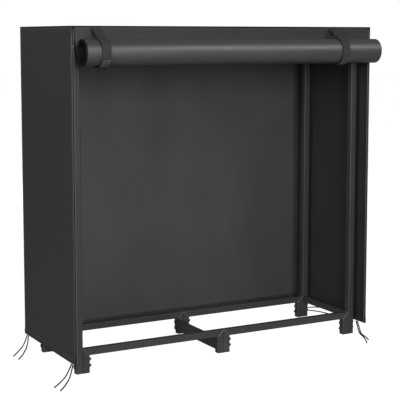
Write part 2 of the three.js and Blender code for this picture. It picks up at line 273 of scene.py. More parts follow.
def curve_through(places, steps):
    """A smooth run of points through the places, a Catmull-Rom spline."""
    places = [Vector(place) for place in places]
    ends = [2 * places[0] - places[1]] + places + [2 * places[-1] - places[-2]]
    run = []
    for i in range(1, len(ends) - 2):
        a, b, c, d = ends[i - 1 : i + 3]
        for step in range(steps):
            t = step / steps
            bend = 2 * a - 5 * b + 4 * c - d
            twist = 3 * b - a - 3 * c + d
            run.append(0.5 * (2 * b + (c - a) * t + bend * t**2 + twist * t**3))
    return run + [places[-1]]


# %% [markdown]
# ## Drawcord tails
# A thin braided cord runs in the hem, and two tails of it leave each lower corner. They are limp,
# so they drop out of the hem and lie on the floor in loose curves. Their ends are plainly cut and
# melted, so each tube closes in a small round tip. The places are those of the CAD routes.

# %% Routes of the drawcord tails
CORD_RADIUS = 0.0024
TIP = 0.0022
HEM_X = HALF_WIDTH - 0.001
CORD_TOP = HEM - CORD_RADIUS
LYING = CORD_RADIUS + 0.0001
# Each place is (outwards, rearwards) in millimetres from the lower corner of the cover.
CORD_ROUTES = {
    "front_left_a": [(0, 38), (2, 38), (13, 35), (27, 28), (41, 12), (58, -10), (79, -35), (102, -60)],
    "front_left_b": [(0, 25), (2, 24), (11, 14), (24, 0), (38, -20), (55, -46), (75, -75), (98, -104)],
    "rear_left_a": [(0, -18), (2, -18), (12, -24), (26, -33), (40, -50), (56, -75), (75, -102), (95, -130)],
    "rear_left_b": [(0, -32), (1, -33), (9, -46), (21, -63), (35, -85), (50, -113), (69, -144), (91, -176)],
    "front_right_a": [(0, 60), (0, 57), (-3, 44), (-8, 26), (-15, 6), (-29, -29), (-48, -68), (-71, -107)],
    "front_right_b": [
        (0, 54), (2.5, 51.5), (2, 41), (-3, 23.5), (-10, 4), (-17, -18), (-25, -43), (-35, -69)
    ],
    "rear_right_a": [(0, -18), (2, -17), (11, -14), (24, -10), (41, -8), (67, -12), (92, -24), (112, -45)],
    "rear_right_b": [(0, -32), (2, -33), (10, -37), (21, -45), (34, -58), (50, -82), (62, -112), (68, -144)],
}
CORD_HEIGHTS = [CORD_TOP, 0.038, 0.020, 0.005, LYING, LYING, LYING, LYING]
print("cords to lay", len(CORD_ROUTES))

# %% Drawcord tails
cords = []
for corner, steps_mm in CORD_ROUTES.items():
    row, end, _ = corner.split("_")
    sign = -1 if end == "left" else 1
    edge = FRONT if row == "front" else REAR
    route = []
    for (out, back), height in zip(steps_mm, CORD_HEIGHTS):
        route.append(Vector((sign * (HEM_X + out / 1000), edge + back / 1000, height)))
    line = curve_through(route, 5)
    length = sum((line[i + 1] - line[i]).length for i in range(len(line) - 1))
    tip_start = length - TIP

    def cord_width(distance, tip_start=tip_start):
        past = max(0.0, distance - tip_start) / (TIP + 0.0001)
        return CORD_RADIUS * math.sqrt(max(0.04, 1 - past * past))

    last, before_last = line[-1], line[-2]
    direction = (last - before_last).normalized()
    fine_end = [last - direction * TIP * (1 - k / 4) for k in range(5)]
    fine_path = line[:-1] + fine_end
    cord = tube(f"cord_{corner}", fine_path, cord_width, sides=8)
    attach(cord, "cover")
    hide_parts(f"drawcord_{corner}")
    [tuple(point) for point in fine_path]
    cords.append(cord)
    print(f"cord_{corner}: {length * 1000:.0f} mm")

# %% [markdown]
# ## Sheets of the cover
# Each panel is cut flat from one cloth and sewn at its edges. A grid with many cells is bent to its
# place by a function, is rumpled a few millimetres off its plane in its middle, and lies still
# along its seams. Solidify then gives the cloth its thickness. The UV map keeps the flat cut in
# metres, so the weave has one scale on all panels.

# %% Helper for sheets
CLOTH = 0.001


def cloth_grid(name, columns, rows, size, place):
    """A grid over size = (width, length), bent by place(u, v) with u and v from 0 to 1."""
    bpy.ops.object.select_all(action="DESELECT")
    bpy.ops.mesh.primitive_grid_add(x_subdivisions=columns, y_subdivisions=rows, size=1)
    piece = bpy.context.object
    piece.name = name
    piece.data.uv_layers[0].name = "UVMap"
    for corner in piece.data.uv_layers[0].data:
        corner.uv = (corner.uv[0] * size[0], corner.uv[1] * size[1])
    for vertex in piece.data.vertices:
        vertex.co = place(vertex.co.x + 0.5, vertex.co.y + 0.5)
    return piece


def rumple(u, v, width, height, seed, depth=1.0):
    """How far the cloth stands off its plane there: nothing at its seams."""
    border = min(u, 1 - u) * width, min(v, 1 - v) * height
    calm = ease((min(border) - 0.012) / 0.09)
    x, z = u * width, v * height
    broad = noise.noise(Vector((x * 2.3, z * 1.5, seed)))
    folds = noise.noise(Vector((x * 7.5 + 0.8 * z, z * 2.2, seed + 4)))
    small = noise.noise(Vector((x * 19, z * 15, seed + 9)))
    return depth * calm * (0.0040 * broad + 0.0016 * folds + 0.0004 * small)


# %% Side, back and top panels
DEPTH = REAR - FRONT
WALL_HEIGHT = PANEL_TOP - HEM


def side_place(sign, seed):
    def place(u, v):
        off = rumple(u, v, DEPTH, WALL_HEIGHT, seed, depth=0.8)
        return Vector((sign * (HALF_WIDTH - CLOTH / 2 + off), FRONT + u * DEPTH, HEM + v * WALL_HEIGHT))

    return place


def back_place(u, v):
    off = rumple(u, v, 2 * HALF_WIDTH, WALL_HEIGHT, 31.0, depth=1.3)
    across = (2 * u - 1) * (HALF_WIDTH - CLOTH)
    return Vector((across, REAR - CLOTH / 2 + off, HEM + v * WALL_HEIGHT))


RAIL_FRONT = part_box("top_rail_front")
RAIL_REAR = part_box("top_rail_rear")
INNER_CROSSBAR_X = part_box("top_crossbar_right")[0][0]


def top_place(u, v):
    x = (2 * u - 1) * HALF_WIDTH
    y = FRONT + v * DEPTH
    between = (y - RAIL_FRONT[1][1]) / (RAIL_REAR[0][1] - RAIL_FRONT[1][1])
    sag = math.sin(math.pi * between) if 0 < between < 1 else 0.0
    sag *= ease((INNER_CROSSBAR_X - abs(x)) / 0.10)
    ripple = 1 + 0.35 * noise.noise(Vector((x * 4, y * 5, 3.0)))
    return Vector((x, y, TOP - CLOTH / 2 - 0.0045 * sag * ripple))


left = cloth_grid("cover_left_cloth", 54, 110, (DEPTH, WALL_HEIGHT), side_place(-1, 3.0))
right = cloth_grid("cover_right_cloth", 54, 110, (DEPTH, WALL_HEIGHT), side_place(1, 17.0))
back = cloth_grid("cover_back_cloth", 120, 110, (2 * HALF_WIDTH, WALL_HEIGHT), back_place)
top = cloth_grid("cover_top_cloth", 120, 54, (2 * HALF_WIDTH, DEPTH), top_place)
for panel, node in ((left, "cover_left"), (right, "cover_right"), (back, "cover_back"), (top, "cover_top")):
    thicken(panel, CLOTH)
    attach(panel, "cover")
    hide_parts(node)
print("panels", [panel.name for panel in (left, right, back, top)])

# %% [markdown]
# ## Hem and piping
# The lower edge is folded up into a channel for the drawcord, which puckers it a little. The seams
# along the top and down the four corners have piping, a thin cord sewn into the seam, which gives
# the cover its crisp edges.

# %% Hem with its drawcord channel
# Outwards and upwards in millimetres, from the outer edge of the fold round to the inner one.
HEM_PROFILE = [(0.5, 24), (0.9, 19), (1.3, 12), (1.1, 4), (0.3, 0.5)]
HEM_PROFILE += [(-0.9, 0), (-2.2, 4), (-2.5, 12), (-2.2, 19), (-1.6, 24)]
PUCKER = 0.021
HEM_CLOTH = 0.0008


def hem_line():
    """Places along the hem, from the front left round the back to the front right, and which side."""
    stops = []
    side_cells, back_cells = 120, 290
    for i in range(side_cells):
        stops.append((-1, 0, FRONT + DEPTH * i / side_cells, i))
    for i in range(back_cells):
        stops.append((0, 1, -HALF_WIDTH + 2 * HALF_WIDTH * i / back_cells, i))
    for i in range(side_cells + 1):
        stops.append((1, 0, REAR - DEPTH * i / side_cells, i))
    return stops


hem_stops = hem_line()
print("hem stops", len(hem_stops))


# %% The folded hem
def hem_place(u, v):
    stop = hem_stops[min(len(hem_stops) - 1, round(u * (len(hem_stops) - 1)))]
    out, height = HEM_PROFILE[round(v * (len(HEM_PROFILE) - 1))]
    side, rear, place, step = stop
    fullness = math.sin(math.pi * min(height, 20) / 20)
    distance = place if rear else place - FRONT
    uneven = 2.2 * noise.noise(Vector((distance * 9, 1, 5)))
    wave = 0.5 + 0.5 * math.sin(2 * math.pi * distance / PUCKER + uneven)
    out = (out + (0.25 * wave * fullness if out > 0 else -0.4 * wave * fullness)) / 1000
    if step == 0 and (rear or side == 1):
        corner = -1 if rear else 1
        return Vector((corner * (HALF_WIDTH + out), REAR + out, HEM + height / 1000))
    if rear:
        return Vector((place, REAR + out, HEM + height / 1000))
    return Vector((side * (HALF_WIDTH + out), place, HEM + height / 1000))


HEM_LENGTH = 2 * DEPTH + 2 * HALF_WIDTH
hem = cloth_grid("cover_hem", len(hem_stops) - 1, len(HEM_PROFILE) - 1, (HEM_LENGTH, 0.05), hem_place)
thicken(hem, HEM_CLOTH, 60)
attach(hem, "cover")
print(f"hem {HEM_LENGTH:.3f} m round three sides")

# %% Piping
PIPING = 0.0021
EDGE = 0.0012


def straight(start, end, cells):
    return [Vector(start).lerp(Vector(end), i / cells) for i in range(cells + 1)]


pipings = []
x, front, rear, level = HALF_WIDTH - EDGE, FRONT + EDGE, REAR - EDGE, TOP - EDGE
TURN = 0.004
loop = []
for corner_x, corner_y, quarter in ((x, rear, 0), (-x, rear, 1), (-x, front, 2), (x, front, 3)):
    inward_x = math.copysign(TURN, corner_x)
    inward_y = math.copysign(TURN, corner_y)
    centre = Vector((corner_x - inward_x, corner_y - inward_y, level))
    for step in range(6):
        angle = math.pi / 2 * (quarter + step / 5)
        loop.append(centre + TURN * Vector((math.cos(angle), math.sin(angle), 0)))
around = []
for i, point in enumerate(loop):
    following = loop[(i + 1) % len(loop)]
    cells = max(1, round((following - point).length / 0.05))
    around += straight(point, following, cells)[:-1]
pipings.append(tube("piping_top", around, PIPING, sides=10, closed=True))
for end, sign in (("left", -1), ("right", 1)):
    for row, y in (("front", front), ("rear", rear)):
        line = straight((sign * x, y, HEM + 0.001), (sign * x, y, level), 24)
        pipings.append(tube(f"piping_{row}_{end}", line, PIPING))
for piping in pipings:
    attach(piping, "cover")
print("piping", [piping.name for piping in pipings])

# %% [markdown]
# ## The door, rolled up
# The door is one sheet. Its upper stretch hangs from the top seam, runs down behind the roll and
# becomes the roll's outer turn. The rest is wound inwards in a spiral that leaves a hollow in the
# middle. The spiral is a real one, so its ends show the turns of the cloth.

# %% Upper stretch of the door
DOOR_REACH = sheet_high[0]
SHEET_END = ROLL_Z - 0.012
SHEET_DROP = PANEL_TOP - SHEET_END
SHEET_Y = FRONT + 0.0007
ROLL_CLOTH = 0.0009
OUTER_TURN = ROLL_RADIUS - 0.0006
sheet_meets_y = ROLL_Y + OUTER_TURN + 0.0008


def sheet_place(u, v):
    drop = (1 - v) * SHEET_DROP
    lean = ease((drop - 0.02) / (SHEET_DROP - 0.03))
    reach = DOOR_REACH - 0.0012 - 0.0040 * lean
    y = SHEET_Y + (sheet_meets_y - SHEET_Y) * lean
    y += 0.0011 * math.sin(math.pi * v) * noise.noise(Vector((u * 9, v * 1.4, 8)))
    return Vector(((2 * u - 1) * reach, y, PANEL_TOP - drop))


sheet = cloth_grid("door_sheet_cloth", 120, 24, (2 * DOOR_REACH, SHEET_DROP), sheet_place)
thicken(sheet, ROLL_CLOTH)
print(f"upper stretch of the door {SHEET_DROP:.3f} m")

# %% The roll
TURNS = 4.05
INNER_TURN = 0.0360
STRAP_X = [sum(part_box(f"strap_{end}_outer")[k][0] for k in (0, 1)) / 2 for end in ("left", "right")]


def spiral(t, x, lift=0.0):
    """The place t of the way along the rolled cloth, from the outside in, at that x."""
    angle = -2 * math.pi * TURNS * t
    radius = OUTER_TURN + (INNER_TURN - OUTER_TURN) * t**0.92
    radius *= 1 + 0.014 * t * math.sin(2 * angle + 0.6)
    radius += 0.0005 * (1 - 0.5 * t) * noise.noise(Vector((x * 5.5, math.cos(angle), math.sin(angle))))
    for strap_x in STRAP_X:
        radius -= 0.0010 * (1 - t) * math.exp(-(((x - strap_x) / 0.028) ** 2))
    radius += lift
    return Vector((x, ROLL_Y + radius * math.cos(angle), ROLL_Z + radius * math.sin(angle)))


def telescope(t, side):
    """How far the edge of a turn stands in or out: cloth never rolls up quite evenly."""
    return side * (0.0015 + 0.0022 * math.sin(5.1 * t * TURNS + side) * t)


CLOTH_REACH = ROLL_REACH - 0.0045
steps = [(spiral((i + 1) / 400, 0) - spiral(i / 400, 0)).length for i in range(400)]
ROLLED_LENGTH = sum(steps)


def roll_place(u, v):
    t = 1 - v
    across = 2 * u - 1
    x = across * CLOTH_REACH - telescope(t, 1 if across > 0 else -1) * abs(across) ** 6
    return spiral(t, x)


roll = cloth_grid("door_roll_cloth", 70, 176, (2 * CLOTH_REACH, ROLLED_LENGTH), roll_place)
thicken(roll, ROLL_CLOTH)
print(f"rolled cloth {ROLLED_LENGTH:.3f} m in {TURNS} turns")

# %% The door's zip edges
RIB = 0.0011
TAPE = 0.0060
TAPE_STEPS = 176
rolled_edges, hanging_edges = [], []
for end, side in (("left", -1), ("right", 1)):

    def tape_place(u, v, side=side):
        t = 1 - v
        x = side * (CLOTH_REACH + 0.0010 - TAPE * (1 - u)) - telescope(t, side)
        return spiral(t, x, lift=-0.0009)

    tape = cloth_grid(f"door_tape_rolled_{end}", 3, TAPE_STEPS, (TAPE, ROLLED_LENGTH), tape_place)
    thicken(tape, 0.0006, 60)
    line = []
    for i in range(TAPE_STEPS + 1):
        t = i / TAPE_STEPS
        line.append(spiral(t, side * (CLOTH_REACH + 0.0014) - telescope(t, side), lift=-0.0004))
    coil = tube(f"door_coil_rolled_{end}", line, RIB, sides=6)
    rolled_edges += [tape, coil]
    line = []
    for i in range(25):
        point = sheet_place(0.5 + side / 2, 1 - i / 24)
        line.append(point + Vector((side * 0.0010, -0.0002, 0)))
    hanging_edges.append(tube(f"door_coil_hanging_{end}", line, RIB, sides=6))
print("door edges", len(rolled_edges) + len(hanging_edges))

# %% Join the rolled door to the body that moves it
for piece in [sheet] + hanging_edges:
    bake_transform(piece)
for piece in [roll] + rolled_edges:
    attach(piece, "door_roll")
    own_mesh(piece)
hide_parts("door_sheet")
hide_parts("door_roll")

# %% [markdown]
# ## Straps
# Each strap is a band of heavy webbing with two legs sewn into the top seam. The outer leg lies
# over the roll, and the inner one runs behind it and laps over the outer one's tip at the lower
# front, where hook-and-loop tape holds them. The ribs of the webbing are real ridges here, because
# they catch the light, and its herringbone is a pattern in the finish.

# %% Sizes of the straps and paths round the roll
strap_low, strap_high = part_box("strap_left_outer")
STRAP_WIDTH = strap_high[0] - strap_low[0]
STRAP_TOP = strap_high[2]
STRAP_THICK = 0.0015
RIB_PITCH = 0.0026
OUTER_STRAP = ROLL_RADIUS + 0.0012
INNER_BOW = 0.0545
LAP_RADIUS = OUTER_STRAP + 0.0022
INNER_TIP = -153


def around_roll(radius, degrees_from, degrees_to, cells, radius_to=None):
    points = []
    for i in range(cells + 1):
        share = i / cells
        angle = math.radians(degrees_from + (degrees_to - degrees_from) * share)
        reach = radius if radius_to is None else radius + (radius_to - radius) * ease(share)
        points.append(Vector((0, ROLL_Y + reach * math.cos(angle), ROLL_Z + reach * math.sin(angle))))
    return points


def resampled(points, spacing):
    """The same line in steps of one length."""
    out, left_over = [points[0]], 0.0
    for a, b in zip(points, points[1:]):
        run = (b - a).length
        place = spacing - left_over
        while place < run:
            out.append(a.lerp(b, place / run))
            place += spacing
        left_over = run - (place - spacing)
    return out


# %% Lines of the two legs
seam = Vector((0, FRONT - 0.0014, STRAP_TOP))
seam_across, seam_up = seam.y - ROLL_Y, seam.z - ROLL_Z
bearing = math.atan2(seam_up, seam_across)
touch = math.degrees(bearing + math.acos(OUTER_STRAP / math.hypot(seam_across, seam_up)))
outer_wrap = around_roll(OUTER_STRAP, touch, 248, 50)
outer_line = straight(seam, outer_wrap[0], 12)[:-1] + outer_wrap
inner_line = [Vector((0, FRONT + 0.0030, STRAP_TOP)), Vector((0, FRONT + 0.0034, STRAP_TOP - 0.03))]
inner_line += around_roll(INNER_BOW, 0, -60, 20)
inner_line += around_roll(INNER_BOW, -63, -112, 18, radius_to=LAP_RADIUS)
inner_line += around_roll(LAP_RADIUS, -115, INNER_TIP, 12)
smooth_inner = curve_through(inner_line[:3], 8) + inner_line[3:]
print("strap lines", len(outer_line), len(smooth_inner))

# %% Straps
legs = {}
for end, middle in zip(("left", "right"), STRAP_X):
    for leg, line, turn in (("outer", outer_line, 1), ("inner", smooth_inner, -1)):
        run = resampled(line, RIB_PITCH / 6)
        cells = len(run) - 1

        def strap_place(u, v, run=run, cells=cells, turn=turn, middle=middle):
            i = round(v * cells)
            before, after = run[max(0, i - 1)], run[min(cells, i + 1)]
            tangent = (after - before).normalized()
            outward = Vector((0, tangent.z, -tangent.y)) * turn
            edge = min(u, 1 - u) * STRAP_WIDTH
            ridge = 0.00022 * math.sin(2 * math.pi * i / 6) * ease((edge - 0.001) / 0.001)
            bow = 0.0006 * noise.noise(Vector((u * 2, i * 0.012, 2 + turn)))
            curl = -0.0004 * (1 - ease(edge / 0.003))
            point = run[i] + outward * (ridge + bow + curl)
            return point + Vector((middle + (u - 0.5) * STRAP_WIDTH, 0, 0))

        name = f"strap_{end}_{leg}_webbing"
        length = cells * RIB_PITCH / 6
        band = cloth_grid(name, 14, cells, (STRAP_WIDTH, length), strap_place)
        thicken(band, STRAP_THICK, 60)
        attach(band, f"strap_{end}_{leg}")
        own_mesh(band)
        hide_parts(f"strap_{end}_{leg}")
        legs[end, leg] = band
print("straps", [f"{leg.name} {len(leg.data.polygons)} faces" for leg in legs.values()])

# %% [markdown]
# ## Zips on the cover
# The cover's half of each zip runs down the front edge: a narrow tape with a row of moulded teeth.
# One tooth is modelled and an Array modifier repeats it. The parked slider has a body that
# straddles the teeth, a bridge and a pull tab with a slot.

# %% Zip tapes and teeth
TOOTH_PITCH = 0.0030
tapes = []
for end, sign in (("left", -1), ("right", 1)):
    low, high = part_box(f"zip_tape_{end}")
    middle = (low[0] + high[0]) / 2
    span = high[2] - low[2]

    def zip_tape_place(u, v, low=low, high=high, span=span):
        return Vector((low[0] + u * (high[0] - low[0]), FRONT + 0.0012, low[2] + v * span))

    tape = cloth_grid(f"zip_tape_{end}_cloth", 6, 120, (high[0] - low[0], span), zip_tape_place)
    apply_modifier(tape, "SOLIDIFY", thickness=0.0009, offset=0)
    tooth_x = middle - sign * (high[0] - low[0]) / 2 + sign * 0.0010
    tooth = block((tooth_x, FRONT + 0.0010, low[2] + 0.002), (0.0030, 0.0022, 0.0016))
    pick_faces(tooth, lambda centre, normal: normal.x * sign < -0.9)
    bpy.ops.mesh.extrude_region_move(TRANSFORM_OT_translate={"value": (-sign * 0.0008, 0, 0)})
    bpy.ops.transform.resize(value=(1, 0.7, 0.6))
    leave_edit()
    repeat(tooth, (0, 0, TOOTH_PITCH), int((span - 0.004) / TOOTH_PITCH))
    tooth.name = f"zip_teeth_{end}"
    for piece in (tape, tooth):
        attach(piece, "cover")
    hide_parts(f"zip_tape_{end}")
    tapes += [tape, tooth]
print("zips", [f"{piece.name} {len(piece.data.polygons)} faces" for piece in tapes])

# %% Zip sliders
sliders = []
for end, sign in (("left", -1), ("right", 1)):
    low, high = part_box(f"zip_slider_{end}")
    middle = Vector(((low[0] + high[0]) / 2, FRONT - 0.0018, high[2] - 0.006))
    body = block(middle, (0.0062, 0.0030, 0.0120))
    pick_faces(body, lambda centre, normal: normal.z < -0.9)
    bpy.ops.transform.resize(value=(0.62, 1, 1))
    leave_edit()
    pick_faces(body, lambda centre, normal: normal.y < -0.9)
    bpy.ops.mesh.inset(thickness=0.0012)
    bpy.ops.mesh.extrude_region_move(TRANSFORM_OT_translate={"value": (0, -0.0012, 0)})
    bpy.ops.transform.resize(value=(0.7, 1, 0.8))
    leave_edit()
    apply_modifier(body, "BEVEL", width=0.0004, segments=2)
    tab = block(middle + Vector((0, -0.0026, -0.0160)), (0.0052, 0.0010, 0.0240))
    pick_faces(tab, lambda centre, normal: abs(normal.y) > 0.9)
    bpy.ops.mesh.inset(thickness=0.0012)
    bpy.ops.mesh.bridge_edge_loops()
    leave_edit()
    apply_modifier(tab, "BEVEL", width=0.00025, segments=2)
    slider = merge(f"zip_slider_{end}_metal", [body, tab])
    face_outwards(slider)
    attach(slider, f"zip_slider_{end}")
    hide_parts(f"zip_slider_{end}")
    sliders.append(slider)
print("sliders", [f"{piece.name} {len(piece.data.polygons)} faces" for piece in sliders])

# %% [markdown]
# ## Stitching
# Rows of lockstitch hold the seams, the hem and the straps. One stitch is a short thread that dives
# into the cloth at both ends. An Array modifier makes a row of it, and each row is turned to lie
# along its seam.

# %% One stitch and rows of it
STITCH_PITCH = 0.0054
bpy.ops.object.select_all(action="DESELECT")
bpy.ops.mesh.primitive_cylinder_add(vertices=5, radius=0.0005, depth=0.0026, rotation=(0, math.pi / 2, 0))
stitch = bpy.context.object
stitch.name = "one_stitch"
set_in_place(stitch)
for side in (-1, 1):
    pick_faces(stitch, lambda centre, normal: normal.x * side > 0.9)
    bpy.ops.mesh.extrude_region_move(TRANSFORM_OT_translate={"value": (side * 0.0007, 0, -0.0004)})
    bpy.ops.transform.resize(value=(1, 0.5, 0.5))
    leave_edit()


def stitch_row(start, end, outward):
    """A row of stitches from start to end on a surface that faces outward."""
    start, end, outward = Vector(start), Vector(end), Vector(outward)
    span = end - start
    count = max(1, int(span.length / STITCH_PITCH))
    row = copy_of(stitch, "row")
    repeat(row, (span.length / count, 0, 0), count)
    along = span.normalized()
    across = outward.cross(along)
    turn = Matrix((along, across, outward)).transposed().to_4x4()
    first = start + along * (span.length / count / 2) + outward * 0.0001
    row.data.transform(Matrix.Translation(first) @ turn)
    return row


# %% Rows on the seams
SEAM_IN = 0.0075
INSET = HALF_WIDTH - SEAM_IN
top_rows = [
    stitch_row((-INSET, FRONT + SEAM_IN, TOP), (INSET, FRONT + SEAM_IN, TOP), (0, 0, 1)),
    stitch_row((-INSET, REAR - SEAM_IN, TOP), (INSET, REAR - SEAM_IN, TOP), (0, 0, 1)),
    stitch_row((-INSET, FRONT + SEAM_IN, TOP), (-INSET, REAR - SEAM_IN, TOP), (0, 0, 1)),
    stitch_row((INSET, FRONT + SEAM_IN, TOP), (INSET, REAR - SEAM_IN, TOP), (0, 0, 1)),
]
wall_rows = []
HIGH, LOW = TOP - SEAM_IN, HEM + 0.0215
for sign in (-1, 1):
    face = sign * HALF_WIDTH
    for y in (FRONT + SEAM_IN, REAR - SEAM_IN):
        wall_rows.append(stitch_row((face, y, LOW + 0.006), (face, y, HIGH), (sign, 0, 0)))
    front_high, rear_high = (face, FRONT + SEAM_IN, HIGH), (face, REAR - SEAM_IN, HIGH)
    wall_rows.append(stitch_row(front_high, rear_high, (sign, 0, 0)))
    hem_face = face + sign * 0.0011
    front_low, rear_low = (hem_face, FRONT + 0.003, LOW), (hem_face, REAR - 0.003, LOW)
    wall_rows.append(stitch_row(front_low, rear_low, (sign, 0, 0)))
    corner_x = sign * INSET
    wall_rows.append(stitch_row((corner_x, REAR, LOW + 0.006), (corner_x, REAR, HIGH), (0, 1, 0)))
wall_rows.append(stitch_row((-INSET, REAR, HIGH), (INSET, REAR, HIGH), (0, 1, 0)))
wall_rows.append(stitch_row((-INSET, REAR + 0.0011, LOW), (INSET, REAR + 0.0011, LOW), (0, 1, 0)))
DOOR_SEAM = PANEL_TOP - 0.0065
door_face = SHEET_Y - ROLL_CLOTH / 2
door_end = DOOR_REACH - 0.008
door_rows = [stitch_row((-door_end, door_face, DOOR_SEAM), (door_end, door_face, DOOR_SEAM), (0, -1, 0))]
stitching = [
    merge("stitching_top", top_rows),
    merge("stitching_walls", wall_rows),
    merge("stitching_door_seam", door_rows),
]
for piece in stitching:
    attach(piece, "cover")

# %% Rows that hold the straps
strap_stitching = []
for end, middle in zip(("left", "right"), STRAP_X):
    face = FRONT - 0.0014 - STRAP_THICK / 2 - 0.0003
    half = STRAP_WIDTH / 2 - 0.003
    low, high = STRAP_TOP - 0.011, STRAP_TOP - 0.0015
    rows = [
        stitch_row((middle - half, face, high), (middle + half, face, high), (0, -1, 0)),
        stitch_row((middle - half, face - 0.0004, low), (middle + half, face - 0.0004, low), (0, -1, 0)),
        stitch_row((middle - half, face, low), (middle - half, face, high), (0, -1, 0)),
        stitch_row((middle + half, face, low), (middle + half, face, high), (0, -1, 0)),
    ]
    box = merge(f"stitching_strap_{end}", rows)
    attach(box, f"strap_{end}_outer")
    strap_stitching.append(box)
bpy.data.objects.remove(stitch)

# %% Stitched boxes where the straps lap
LAP_DEGREES = (-119, -150)
LAP_REACH = LAP_RADIUS + STRAP_THICK / 2 + 0.0003
BOX_STITCH = 0.0048
LAP_CELLS = 40


def on_lap(x, degrees):
    angle = math.radians(degrees)
    return Vector((x, ROLL_Y + LAP_REACH * math.cos(angle), ROLL_Z + LAP_REACH * math.sin(angle)))


def lap_row(start, end):
    """Stitches over the curve of the strap. start and end are (x, degrees round the roll)."""
    line = [on_lap(*Vector(start).lerp(Vector(end), k / LAP_CELLS)) for k in range(LAP_CELLS + 1)]
    count = max(1, round((line[-1] - line[0]).length / BOX_STITCH))
    stitches = []
    for k in range(count):
        places = [LAP_CELLS * (k + share) / count for share in (0.12, 0.3, 0.5, 0.7, 0.88)]
        stitches.append(tube("stitch", [line[round(place)] for place in places], 0.0007, sides=5))
    return stitches


for end, middle in zip(("left", "right"), STRAP_X):
    half = STRAP_WIDTH / 2 - 0.0045
    corners = [(middle - half, LAP_DEGREES[0]), (middle + half, LAP_DEGREES[0])]
    corners += [(middle + half, LAP_DEGREES[1]), (middle - half, LAP_DEGREES[1])]
    seams = list(zip(corners, corners[1:] + corners[:1]))
    seams += [(corners[0], corners[2]), (corners[1], corners[3])]
    stitches = [stitch for seam_ends in seams for stitch in lap_row(*seam_ends)]
    box = merge(f"stitching_lap_{end}", stitches)
    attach(box, f"strap_{end}_inner")
    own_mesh(box)
    strap_stitching.append(box)
print("stitching", [f"{p.name} {len(p.data.polygons)} faces" for p in stitching + strap_stitching])

print(f"the door is {SHEET_DROP + ROLLED_LENGTH:.3f} m long in all")

# %% [markdown]
# ## Bolts
# Each leg pair is clamped by two bolts. A bolt is a hexagon head with a washer face under it, a
# shank, a hexagon nut and the end of the thread. It is built along X at the origin once for each
# grip and copied to its places. The thread is a stack of shallow rings.

# %% Parts of a bolt
HEAD_RADIUS = 0.0072
HEAD_HEIGHT = 0.0050
SHANK = 0.0040


def round_part(x, radius, length, sides=20):
    """A cylinder along the X axis, centred at x."""
    bpy.ops.mesh.primitive_cylinder_add(
        vertices=sides, radius=radius, depth=length, location=(x, 0, 0), rotation=(0, math.pi / 2, 0)
    )
    piece = bpy.context.object
    set_in_place(piece)
    return piece


def hexagon(x, radius, height, facing):
    """A hexagon with a chamfered outer face and a round washer face, centred at x on the X axis."""
    piece = round_part(x, radius, height, sides=6)
    pick_faces(piece, lambda centre, normal: normal.x * facing > 0.9)
    bpy.ops.mesh.inset(thickness=radius * 0.13)
    bpy.ops.transform.translate(value=(facing * 0.0006, 0, 0))
    bpy.ops.mesh.inset(thickness=radius * 0.20)
    bpy.ops.transform.translate(value=(-facing * 0.0004, 0, 0))
    leave_edit()
    apply_modifier(piece, "BEVEL", width=0.00035, segments=2)
    return piece


# %% A whole bolt
def bolt_along_x(length):
    """A bolt whose head starts at x = 0 and whose thread ends at that length."""
    nut_x = length - 0.0040 - HEAD_HEIGHT / 2
    parts = [
        hexagon(HEAD_HEIGHT / 2, HEAD_RADIUS, HEAD_HEIGHT - 0.0010, -1),
        round_part(HEAD_HEIGHT - 0.0002, HEAD_RADIUS * 0.95, 0.0007, sides=28),
        round_part(length / 2, SHANK, length - 0.006),
        hexagon(nut_x, HEAD_RADIUS, HEAD_HEIGHT - 0.0010, 1),
        round_part(nut_x - HEAD_HEIGHT / 2 + 0.0002, HEAD_RADIUS * 0.95, 0.0007, sides=28),
    ]
    thread = round_part(length - 0.0034, SHANK * 0.90, 0.0060)
    for k in range(5):
        ring = round_part(length - 0.0036 + 0.0008 * k, SHANK, 0.0004)
        apply_modifier(ring, "BEVEL", width=0.00016, segments=1)
        parts.append(ring)
    pick_faces(thread, lambda centre, normal: normal.x > 0.9)
    bpy.ops.mesh.bevel(offset=0.0006, segments=1)
    leave_edit()
    parts.append(thread)
    whole = merge("bolt_pattern", parts)
    smooth(whole, 35)
    return whole


# %% Bolts in their places
bolts = []
for row in ("front", "rear"):
    for column in ("left", "middle", "right"):
        for level in ("upper", "lower"):
            node = f"bolt_{row}_{column}_{level}"
            low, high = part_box(node)
            bolt = bolt_along_x(high[0] - low[0])
            if column == "right":
                bolt.data.transform(Matrix.Rotation(math.pi, 4, "Z"))
                start = high[0]
            else:
                start = low[0]
            twist = math.radians(7 + 13 * len(bolts))
            bolt.data.transform(Matrix.Rotation(twist, 4, "X"))
            place = (start, (low[1] + high[1]) / 2, (low[2] + high[2]) / 2)
            bolt.data.transform(Matrix.Translation(place))
            bolt.name = f"{node}_steel"
            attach(bolt, "frame")
            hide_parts(node)
            bolts.append(bolt)
print("bolts", len(bolts), "with", len(bolts[0].data.polygons), "faces each")

# %% [markdown]
# ## Weld beads
# Each base frame is one square tube with two mitred corners. A bead of weld runs all round each
# mitre, with the small ripples of the torch. It is a thin tube along the mitre's outline, whose
# radius swells and shrinks.

# %% Weld beads
BEAD = 0.0009
CORNER = 0.003
RAIL_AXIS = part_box("base_frame_front_left")[1][2] - TUBE / 2


